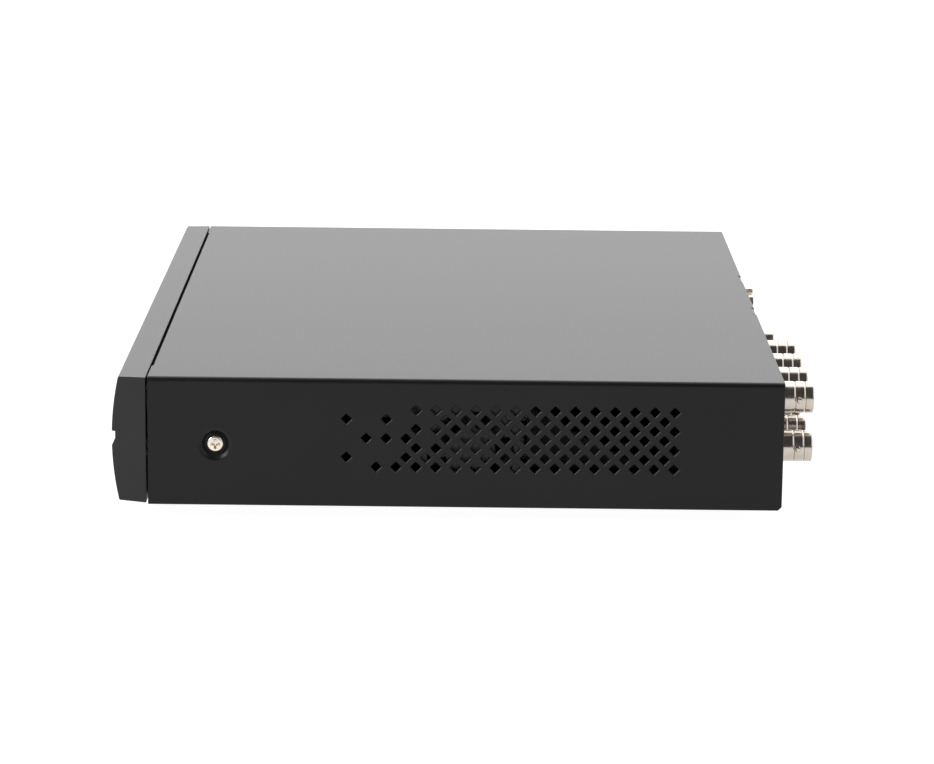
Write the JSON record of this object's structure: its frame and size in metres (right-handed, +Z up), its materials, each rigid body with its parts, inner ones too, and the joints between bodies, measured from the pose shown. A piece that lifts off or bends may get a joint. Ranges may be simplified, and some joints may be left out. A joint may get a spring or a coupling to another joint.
{
  "type": "video recorder",
  "caption": "Compact desktop video recorder: folded steel case with side vents, bowed plastic front, rear camera sockets, drive, boards and fan.",
  "frame": {"origin": "bottom centre of the whole object, where the rubber feet rest", "axes": "+X the recorder's right side seen from the front, +Y towards the rear connectors, +Z up"},
  "size_m": [0.26, 0.213, 0.044],
  "materials": {
    "black_steel": "fine-textured black powder coat",
    "chassis_steel": "smooth black coated sheet steel",
    "front_plastic": "finely textured dark grey ABS",
    "foot_rubber": "matt black rubber",
    "screw_steel": "nickel-plated steel",
    "nickel": "satin nickel plating",
    "window_plastic": "smoked acrylic",
    "clear_plastic": "clear polycarbonate",
    "board_green": "green solder mask",
    "brass_post": "brass",
    "chip_black": "moulded epoxy",
    "sink_black": "black anodised aluminium",
    "capacitor_blue": "sleeved can",
    "header_cream": "natural nylon",
    "socket_black": "black glass-filled nylon",
    "white_plastic": "white acetal",
    "audio_red": "red ABS",
    "vga_blue": "blue PBT",
    "terminal_green": "green polyamide",
    "disk_metal": "cast aluminium and stamped steel",
    "disk_mirror": "polished platter",
    "disk_board_blue": "blue solder mask",
    "fan_black": "black PBT",
    "cable_red": "red PVC",
    "ribbon_grey": "grey flat cable"
  },
  "bodies": {
    "recorder": {"top_cover": "black_steel", "base_chassis": "chassis_steel", "front_bezel": "front_plastic", "rubber_feet": "foot_rubber", "foot_screws": "screw_steel", "side_cover_screws": "screw_steel", "rear_cover_screws": "screw_steel", "indicator_window": "window_plastic", "light_pipes": "clear_plastic", "front_board": "board_green", "front_leds": "clear_plastic", "front_usb_shell": "screw_steel", "front_usb_tongue": "white_plastic", "main_board": "board_green", "board_standoffs": "brass_post", "board_screws": "screw_steel", "processor": "chip_black", "heatsink": "sink_black", "memory_chips": "chip_black", "video_chips": "chip_black", "power_coils": "chip_black", "capacitors": "capacitor_blue", "battery_holder": "chip_black", "coin_battery": "screw_steel", "buzzer": "chip_black", "board_headers": "header_cream", "bnc_housing": "socket_black", "bnc_shells": "nickel", "bnc_insulators": "white_plastic", "bnc_contacts": "brass_post", "audio_housing": "socket_black", "audio_rings": "nickel", "audio_inserts": "audio_red", "lan_usb_shell": "screw_steel", "lan_usb_insert": "socket_black", "video_housing": "socket_black", "vga_shell": "screw_steel", "vga_insert": "vga_blue", "vga_nuts": "screw_steel", "hdmi_shell": "screw_steel", "hdmi_tongue": "socket_black", "terminal_block": "terminal_green", "terminal_screws": "screw_steel", "dc_jack": "socket_black", "dc_pin": "screw_steel", "switch_frame": "socket_black", "earth_screw": "screw_steel", "disk_housing": "disk_metal", "disk_lid": "disk_metal", "disk_board": "disk_board_blue", "disk_screws": "screw_steel", "fan_frame": "fan_black", "fan_screws": "screw_steel", "drive_cables": "cable_red", "front_ribbon": "ribbon_grey", "fan_lead": "cable_red"},
    "fan_wheel": {"fan_rotor": "fan_black"},
    "disks": {"disk_platters": "disk_mirror"},
    "head_arm": {"disk_head_arm": "disk_metal"},
    "rocker": {"power_rocker": "socket_black"}
  },
  "joints": [
    {"name": "fan_spin", "type": "hinge", "parent": "recorder", "child": "fan_wheel", "pos_m": [0.1226, 0.0019, 0.0209], "axis": [1, 0, 0], "continuous": true},
    {"name": "platter_spin", "type": "hinge", "parent": "recorder", "child": "disks", "pos_m": [-0.0235, -0.0406, 0.0245], "axis": [0, 0, 1], "continuous": true},
    {"name": "head_arm_swing", "type": "hinge", "parent": "recorder", "child": "head_arm", "pos_m": [0.04, -0.0614, 0.0245], "axis": [0, 0, 1], "range_deg": [0, 32]},
    {"name": "power_rocker_tilt", "type": "hinge", "parent": "recorder", "child": "rocker", "pos_m": [-0.112, 0.0904, 0.025], "axis": [1, 0, 0], "range_deg": [-20, 0]}
  ]
}
